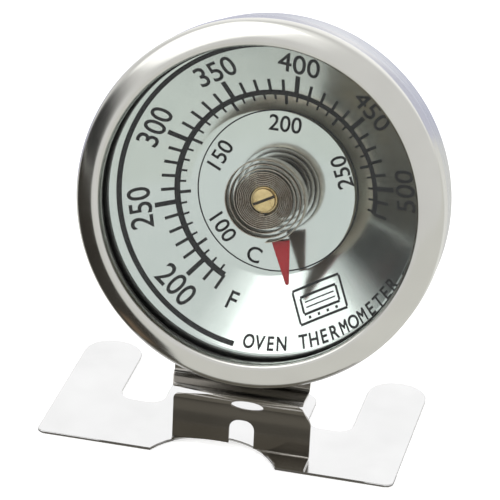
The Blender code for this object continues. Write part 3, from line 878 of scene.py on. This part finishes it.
def make_pointer():
    """The tapered pointer, its tab turned back along the coil's end."""
    root = Vector(POINTER_ROOT)
    tip = Vector(POINTER_TIP)
    along = (tip - root).normalized()
    across = Vector((-along.y, along.x))
    outline = [root - across * POINTER_HALF_ROOT]
    tip_centre = tip - along * POINTER_HALF_TIP
    for k in range(POINTER_TIP_STEPS + 1):
        turn = math.pi * k / POINTER_TIP_STEPS
        outline.append(tip_centre + (along * math.sin(turn) - across * math.cos(turn)) * POINTER_HALF_TIP)
    outline.append(root + across * POINTER_HALF_ROOT)
    bm = bmesh.new()
    faces = [bm.faces.new([bm.verts.new((p.x, -p.y, POINTER_FRONT)) for p in outline])]
    grown = bmesh.ops.extrude_face_region(bm, geom=faces, use_keep_orig=True)
    for part in grown["geom"]:
        if isinstance(part, bmesh.types.BMVert):
            part.co.z = POINTER_BACK
    left = root - across * TAB_HALF
    right = root + across * TAB_HALF
    tab = [left, right, right + along * TAB_SHEET, left + along * TAB_SHEET]
    tab_faces = [bm.faces.new([bm.verts.new((p.x, -p.y, TAB_FRONT)) for p in tab])]
    grown = bmesh.ops.extrude_face_region(bm, geom=tab_faces, use_keep_orig=True)
    for part in grown["geom"]:
        if isinstance(part, bmesh.types.BMVert):
            part.co.z = COIL_BACK
    bmesh.ops.recalc_face_normals(bm, faces=bm.faces)
    bmesh.ops.bevel(bm, geom=bm.edges[:], offset=POINTER_EDGE, segments=2, affect="EDGES")
    look = red_paint()
    pointer = case_piece("red_pointer", bm, look, "pointer", ["pointer"], smooth_angle=50)
    pointer.data.materials.append(bare_back())
    for face in pointer.data.polygons:
        if face.normal.z > 0.5 or face.center.z > (POINTER_BACK + 0.1) * MM:
            face.material_index = 1


# ---------------------------------------------------------------- stand


def make_sheet_piece(name, node, look, edge=0.09):
    """A sheet-metal node's own shape with its cut edges broken."""
    bm = bmesh.new()
    bm.from_mesh(frame["nodes"][node].data)
    bmesh.ops.remove_doubles(bm, verts=bm.verts, dist=1e-6)
    bmesh.ops.dissolve_limit(bm, angle_limit=math.radians(0.5), verts=bm.verts, edges=bm.edges)
    bmesh.ops.scale(bm, vec=(1 / MM, 1 / MM, 1 / MM), verts=bm.verts)
    rims = [e for e in bm.edges if len(e.link_faces) == 2 and e.calc_face_angle() > math.radians(60)]
    bmesh.ops.bevel(bm, geom=rims, offset=edge, segments=2, affect="EDGES", clamp_overlap=True)
    piece = bpy.data.objects.new(name, finish_mesh(bm, name, 50))
    bpy.context.scene.collection.objects.link(piece)
    piece.data.materials.append(look)
    flat = piece.modifiers.new("flat_faces", "WEIGHTED_NORMAL")
    flat.keep_sharp = True
    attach(piece, "case")
    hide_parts(node)


def dress(node, look):
    """Puts a material on a CAD node that is shown as it is."""
    mesh = frame["nodes"][node].data
    mesh.materials.clear()
    mesh.materials.append(look)


# ---------------------------------------------------------------- studio


def add_camera():
    """A long lens, a little above the dial and to its right."""
    level = Vector((-math.sin(CAMERA_AZIMUTH), math.cos(CAMERA_AZIMUTH), 0))
    forward = level * math.cos(CAMERA_ELEVATION) - Vector((0, 0, math.sin(CAMERA_ELEVATION)))
    side = Vector((math.cos(CAMERA_AZIMUTH), math.sin(CAMERA_AZIMUTH), 0))
    down = forward.cross(side)
    right = side * math.cos(CAMERA_ROLL) + down * math.sin(CAMERA_ROLL)
    below = down * math.cos(CAMERA_ROLL) - side * math.sin(CAMERA_ROLL)
    data = bpy.data.cameras.new("camera")
    data.sensor_width = 36
    data.lens = CAMERA_LENS
    camera = bpy.data.objects.new("camera", data)
    turn = Matrix((right, -below, -forward)).transposed().to_4x4()
    place = Vector(CAMERA_TARGET) - forward * CAMERA_DISTANCE
    camera.matrix_world = Matrix.Translation(place) @ turn
    bpy.context.scene.collection.objects.link(camera)
    bpy.context.scene.camera = camera


def add_softbox(name, place, target, size, power, colour=(1, 1, 1)):
    """A square area lamp aimed at a point."""
    lamp = bpy.data.lights.new(name, "AREA")
    lamp.size = size
    lamp.energy = power
    lamp.color = colour
    box = bpy.data.objects.new(name, lamp)
    place = Vector(place)
    aim = (Vector(target) - place).to_track_quat("-Z", "Y")
    box.matrix_world = Matrix.Translation(place) @ aim.to_matrix().to_4x4()
    bpy.context.scene.collection.objects.link(box)


def add_floor():
    """A white floor that keeps a faint shadow."""
    bm = bmesh.new()
    bmesh.ops.create_grid(bm, x_segments=4, y_segments=4, size=FLOOR_HALF)
    mesh = bpy.data.meshes.new("floor")
    bm.to_mesh(mesh)
    bm.free()
    floor = bpy.data.objects.new("floor", mesh)
    bpy.context.scene.collection.objects.link(floor)
    floor.location.z = -FLOOR_DROP
    nodes = Nodes("floor_white")
    nodes.set(Base_Color=(0.9, 0.9, 0.9, 1.0), Roughness=0.9)
    nodes.set(Emission_Color=(1, 1, 1, 1), Emission_Strength=0.45)
    mesh.materials.append(nodes.material)


def add_card(name, corners, colour):
    """A card that shows only in reflections."""
    mesh = bpy.data.meshes.new(name)
    mesh.from_pydata([Vector(p) for p in corners], [], [range(len(corners))])
    nodes = Nodes(name)
    nodes.set(Base_Color=(0, 0, 0, 1), Specular_IOR_Level=0.0)
    nodes.set(Emission_Color=(*colour, 1), Emission_Strength=1.0)
    mesh.materials.append(nodes.material)
    card = bpy.data.objects.new(name, mesh)
    bpy.context.scene.collection.objects.link(card)
    card.visible_camera = False
    card.visible_diffuse = False
    card.visible_shadow = False


def add_floor_cards():
    """What the steel sees of the floor: pale in front, faintly blue behind, and dark at the left."""
    wedge = [(-0.012, -0.021), (-0.025, -0.04), (-0.06, -0.075)]
    wedge += [(-1.35, -1.5), (-1.5, 0.2), (-0.036, -0.01)]
    warm = [(-0.024, -0.03), (-0.04, -0.036), (-0.044, -0.026), (-0.03, -0.021)]
    underfoot = [(-0.031, -0.0128), (0.031, -0.0128), (0.031, -0.02), (-0.031, -0.02)]
    patches = [
        ("tone_front", 3, [(-3, -3), (3, -3), (3, 0.06), (-3, 0.06)], (0.86, 0.86, 0.83)),
        ("tone_right", 3, [(0, 0.06), (3, 0.06), (3, 3), (1.5, 3)], (0.84, 0.84, 0.81)),
        ("tone_back", 3, [(-3, 0.06), (0, 0.06), (1.5, 3), (-3, 3)], (0.66, 0.67, 0.80)),
        ("dark_left", 2, wedge, (0.045, 0.04, 0.034)),
        ("warm_left", 1, warm, (0.2, 0.145, 0.1)),
        ("dark_underfoot", 1, underfoot, (0.12, 0.11, 0.09)),
    ]
    for name, layer, corners, colour in patches:
        add_card(name, [(x, y, -layer * CARD_STEP) for x, y in corners], colour)


def upright_corners(left, right, y, low, high):
    """Corners of an upright card that faces along Y."""
    return [(left, y, low), (right, y, low), (right, y, high), (left, y, high)]


def add_neck_cards():
    """A low screen ahead of the neck, in bands, so that the neck shows as dark steel."""
    heights = (0.0, 0.0022, 0.0042, 0.0062, 0.0088)
    for i, tone in enumerate((0.10, 0.17, 0.09, 0.19)):
        corners = upright_corners(-0.02, 0.025, -0.02, heights[i], heights[i + 1])
        add_card("dark_ahead_%d" % i, corners, (tone, tone * 0.94, tone * 0.8))
    fold_tone = (0.2, 0.19, 0.16)
    add_card("dark_fold_low", upright_corners(-0.02, 0.025, -0.018, 0.0088, 0.0115), fold_tone)
    add_card("dark_fold_high", upright_corners(-0.007, 0.017, -0.0162, 0.0115, 0.0138), fold_tone)


def add_world():
    """Studio surroundings: pale all round, brighter behind and above the object, and darker at its left."""
    world = bpy.data.worlds.new("studio")
    bpy.context.scene.world = world
    world.use_nodes = True
    tree = world.node_tree
    light = tree.nodes["Background"]
    light.inputs["Color"].default_value = (1, 1, 1, 1)
    look = tree.nodes.new("ShaderNodeTexCoord").outputs["Generated"]
    total = None
    lobes = [
        ((0.0, 0.9, 0.40), 62, 20, 0.5),
        ((-0.2, -0.38, 0.9), 26, 8, 0.45),
        ((-0.92, -0.38, -0.14), 36, 21, -0.86),
    ]
    for direction, outer, inner, gain in lobes:
        facing = tree.nodes.new("ShaderNodeVectorMath")
        facing.operation = "DOT_PRODUCT"
        tree.links.new(look, facing.inputs[0])
        facing.inputs[1].default_value = Vector(direction).normalized()
        ramp = tree.nodes.new("ShaderNodeMapRange")
        ramp.interpolation_type = "SMOOTHSTEP"
        tree.links.new(facing.outputs["Value"], ramp.inputs["Value"])
        ramp.inputs["From Min"].default_value = math.cos(math.radians(outer))
        ramp.inputs["From Max"].default_value = math.cos(math.radians(inner))
        ramp.inputs["To Max"].default_value = gain
        joined = tree.nodes.new("ShaderNodeMath")
        joined.operation = "ADD"
        tree.links.new(ramp.outputs["Result"], joined.inputs[0])
        if total is None:
            joined.inputs[1].default_value = WORLD_LEVEL
        else:
            tree.links.new(total, joined.inputs[1])
        total = joined.outputs["Value"]
    tree.links.new(total, light.inputs["Strength"])


def main():
    make_bezel()
    make_cup()
    make_glass()
    make_spacer()
    make_dial()
    black = ink()
    make_scale(black)
    make_rings(black)
    make_numbers(black)
    make_title(black)
    make_pictogram(black)
    make_coil()
    make_stud()
    make_pointer()
    plate_look = rolled_steel("plate_steel", (0.66, 0.66, 0.66), 0.16)
    make_sheet_piece("stand_plate", "rack_plate", plate_look)
    strap_look = rolled_steel("strap_bright", (0.48, 0.46, 0.43), 0.14)
    make_sheet_piece("stand_strap", "neck_strap", strap_look)
    dress("glass_gasket", fibre())
    dress("stud_bush", brass("bush_brass_turned"))
    dress("coil_collar", brass("collar_brass_turned"))
    dress("friction_washer", spun_steel("washer_spring_steel", (0.42, 0.42, 0.43), 0.3))
    dress("stud_nut", spun_steel("nut_bright_steel", (0.52, 0.52, 0.52), 0.28))
    add_camera()
    add_world()
    add_floor()
    add_floor_cards()
    add_neck_cards()
    add_softbox("key", (-0.35, -0.25, 0.6), (0, 0, 0.03), 0.6, 1.1)
    bpy.context.scene.view_settings.view_transform = "Standard"


main()
